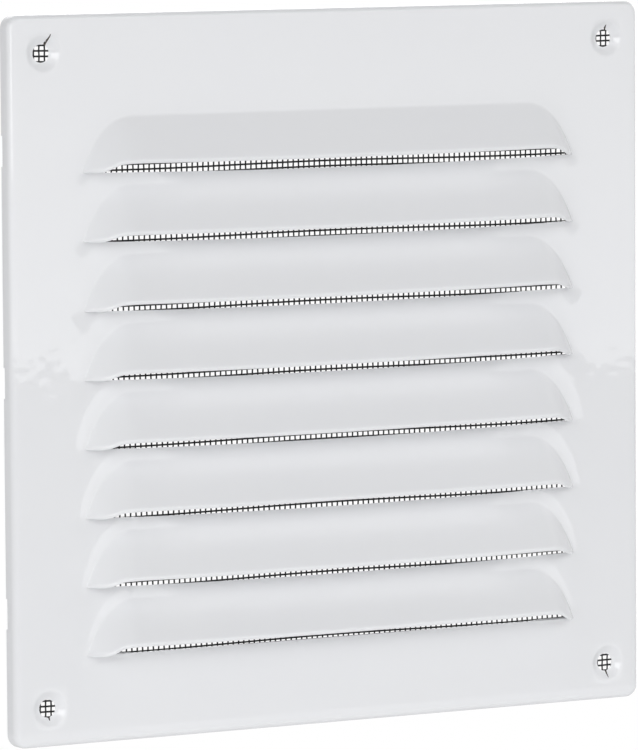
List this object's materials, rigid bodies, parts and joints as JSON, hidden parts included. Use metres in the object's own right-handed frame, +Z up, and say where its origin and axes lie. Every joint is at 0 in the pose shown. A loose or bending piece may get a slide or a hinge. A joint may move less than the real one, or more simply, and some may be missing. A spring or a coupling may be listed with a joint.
{
  "type": "weather louvre",
  "caption": "Square wall vent pressed from white sheet metal, with a stack of downward-facing hooded louvres, a bent rim, dished screw holes in its corners and a black insect mesh behind.",
  "frame": {"origin": "centre of the four screw holes, on the floor of their dishes where the screw heads seat", "axes": "+X to the right and +Z up as the louvre hangs on a wall, -Y out of the front, so +Y points into the wall"},
  "size_m": [0.19, 0.0128, 0.19],
  "materials": {
    "white_powder_coat": "gloss white powder coat on aluminium sheet",
    "black_coated_wire": "satin black coated aluminium wire"
  },
  "bodies": {
    "root": {"face_plate": "white_powder_coat", "insect_mesh": "black_coated_wire"}
  },
  "joints": []
}
